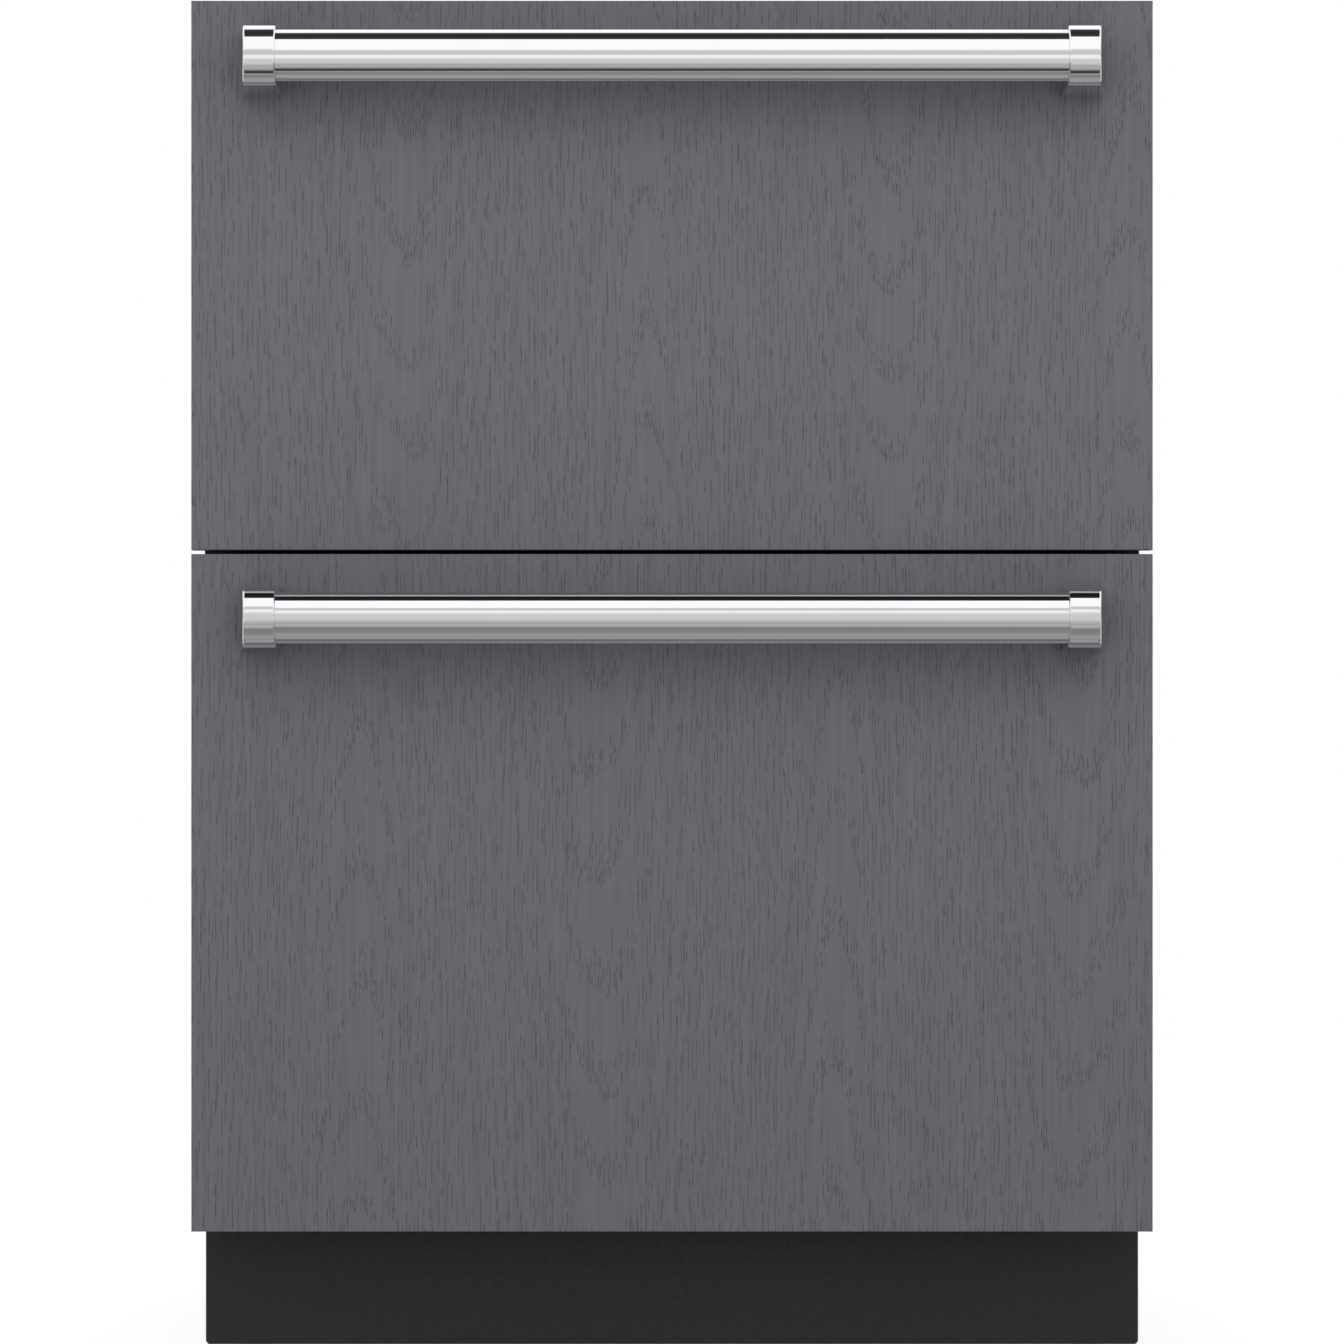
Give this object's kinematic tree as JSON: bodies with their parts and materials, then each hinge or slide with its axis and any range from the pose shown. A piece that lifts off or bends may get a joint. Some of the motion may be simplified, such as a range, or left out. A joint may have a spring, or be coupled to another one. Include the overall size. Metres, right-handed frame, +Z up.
{
  "type": "built-in freezer",
  "caption": "Under-counter built-in drawer freezer with dark grey oak-grain overlay panels, polished tube handles and a black kick plate.",
  "frame": {"origin": "on the floor, under the middle of the whole body from handle to back", "axes": "+X right as seen from the front, +Y to the back, +Z up"},
  "size_m": [0.603, 0.6754, 0.876],
  "materials": {
    "painted_oak": "dark grey open-pore paint on oak",
    "polished_chrome": "polished",
    "black_paint": "satin black powder coat",
    "galvanised_steel": "galvanised sheet",
    "black_core": "black skin over foam",
    "white_plastic": "smooth moulded",
    "foam": "foamed in place",
    "seal_rubber": "soft extrusion",
    "zinc_steel": "bright zinc",
    "compressor_black": "gloss black enamel",
    "copper": "drawn copper tube",
    "coil_aluminium": "mill finish fins",
    "fan_plastic": "moulded",
    "drain_plastic": "moulded grey",
    "inlet_plastic": "moulded black",
    "button_plastic": "moulded grey",
    "light_lens": "frosted lens"
  },
  "bodies": {
    "cabinet": {"kick_plate": "black_paint", "cross_rails": "black_paint", "side_panel_left": "galvanised_steel", "side_panel_right": "galvanised_steel", "top_panel": "galvanised_steel", "back_panel": "galvanised_steel", "machine_bulkhead": "galvanised_steel", "base_pan": "galvanised_steel", "rear_service_cover": "galvanised_steel", "counter_brackets": "galvanised_steel", "liner": "white_plastic", "evaporator_cover": "white_plastic", "control_housing": "white_plastic", "insulation": "foam", "compressor_grommets": "seal_rubber", "slide_outers": "zinc_steel", "sync_racks": "zinc_steel", "compressor": "compressor_black", "refrigerant_lines": "copper", "condenser": "coil_aluminium", "evaporator": "coil_aluminium", "condenser_fan_frame": "fan_plastic", "evaporator_fan_motor": "fan_plastic", "drain_tube": "drain_plastic", "condensate_pan": "drain_plastic", "power_inlet": "inlet_plastic", "light_bars": "light_lens"},
    "upper_drawer": {"upper_panel": "painted_oak", "upper_handle_bar": "polished_chrome", "upper_handle_posts": "polished_chrome", "upper_handle_screws": "zinc_steel", "upper_front_core": "black_core", "upper_front_liner": "white_plastic", "upper_gasket": "seal_rubber", "upper_carriers": "zinc_steel", "upper_bin": "white_plastic", "upper_slide_inners": "zinc_steel"},
    "upper_slide_middles": {"upper_slide_middles": "zinc_steel"},
    "upper_sync_shaft": {"upper_sync_shaft": "zinc_steel"},
    "lower_drawer": {"lower_panel": "painted_oak", "lower_handle_bar": "polished_chrome", "lower_handle_posts": "polished_chrome", "lower_handle_screws": "zinc_steel", "lower_front_core": "black_core", "lower_front_liner": "white_plastic", "lower_gasket": "seal_rubber", "lower_carriers": "zinc_steel", "lower_bin": "white_plastic", "lower_slide_inners": "zinc_steel"},
    "lower_slide_middles": {"lower_slide_middles": "zinc_steel"},
    "lower_sync_shaft": {"lower_sync_shaft": "zinc_steel"},
    "condenser_fan": {"condenser_fan_blade": "fan_plastic"},
    "evaporator_fan": {"evaporator_fan_blade": "fan_plastic"},
    "button_power": {"button_power": "button_plastic"},
    "button_colder": {"button_colder": "button_plastic"},
    "button_warmer": {"button_warmer": "button_plastic"},
    "foot_front_left": {"foot_front_left": "zinc_steel"},
    "foot_front_right": {"foot_front_right": "zinc_steel"},
    "foot_rear_left": {"foot_rear_left": "zinc_steel"},
    "foot_rear_right": {"foot_rear_right": "zinc_steel"}
  },
  "joints": [
    {"name": "upper_drawer_slide", "type": "slide", "parent": "cabinet", "child": "upper_drawer", "axis": [0, -1, 0], "range_m": [0, 0.395]},
    {"name": "upper_middles_slide", "type": "slide", "parent": "cabinet", "child": "upper_slide_middles", "axis": [0, -1, 0], "range_m": [0, 0.1975]},
    {"name": "upper_sync_roll", "type": "hinge", "parent": "upper_drawer", "child": "upper_sync_shaft", "pos_m": [0, 0.20775, 0.7312], "axis": [1, 0, 0], "range_deg": [0, 1680]},
    {"name": "lower_drawer_slide", "type": "slide", "parent": "cabinet", "child": "lower_drawer", "axis": [0, -1, 0], "range_m": [0, 0.395]},
    {"name": "lower_middles_slide", "type": "slide", "parent": "cabinet", "child": "lower_slide_middles", "axis": [0, -1, 0], "range_m": [0, 0.1975]},
    {"name": "lower_sync_roll", "type": "hinge", "parent": "lower_drawer", "child": "lower_sync_shaft", "pos_m": [0, 0.20775, 0.43495], "axis": [1, 0, 0], "range_deg": [0, 1680]},
    {"name": "condenser_fan_spin", "type": "hinge", "parent": "cabinet", "child": "condenser_fan", "pos_m": [0.125, 0.24025, 0.1152], "axis": [1, 0, 0], "continuous": true},
    {"name": "evaporator_fan_spin", "type": "hinge", "parent": "cabinet", "child": "evaporator_fan", "pos_m": [0, 0.26075, 0.76675], "axis": [0, 1, 0], "continuous": true},
    {"name": "button_power_press", "type": "slide", "parent": "cabinet", "child": "button_power", "axis": [0, 1, 0], "range_m": [0, 0.0015], "stiffness_N_per_m": 800},
    {"name": "button_colder_press", "type": "slide", "parent": "cabinet", "child": "button_colder", "axis": [0, 1, 0], "range_m": [0, 0.0015], "stiffness_N_per_m": 800},
    {"name": "button_warmer_press", "type": "slide", "parent": "cabinet", "child": "button_warmer", "axis": [0, 1, 0], "range_m": [0, 0.0015], "stiffness_N_per_m": 800},
    {"name": "foot_front_left_level", "type": "slide", "parent": "cabinet", "child": "foot_front_left", "axis": [0, 0, -1], "range_m": [0, 0.02]},
    {"name": "foot_front_right_level", "type": "slide", "parent": "cabinet", "child": "foot_front_right", "axis": [0, 0, -1], "range_m": [0, 0.02]},
    {"name": "foot_rear_left_level", "type": "slide", "parent": "cabinet", "child": "foot_rear_left", "axis": [0, 0, -1], "range_m": [0, 0.02]},
    {"name": "foot_rear_right_level", "type": "slide", "parent": "cabinet", "child": "foot_rear_right", "axis": [0, 0, -1], "range_m": [0, 0.02]}
  ],
  "couplings": [
    {"joint": "upper_middles_slide", "follows": "upper_drawer_slide", "ratio": 0.5},
    {"joint": "upper_sync_roll", "follows": "upper_drawer_slide", "rad_per_m": 74.074},
    {"joint": "lower_middles_slide", "follows": "lower_drawer_slide", "ratio": 0.5},
    {"joint": "lower_sync_roll", "follows": "lower_drawer_slide", "rad_per_m": 74.074}
  ]
}
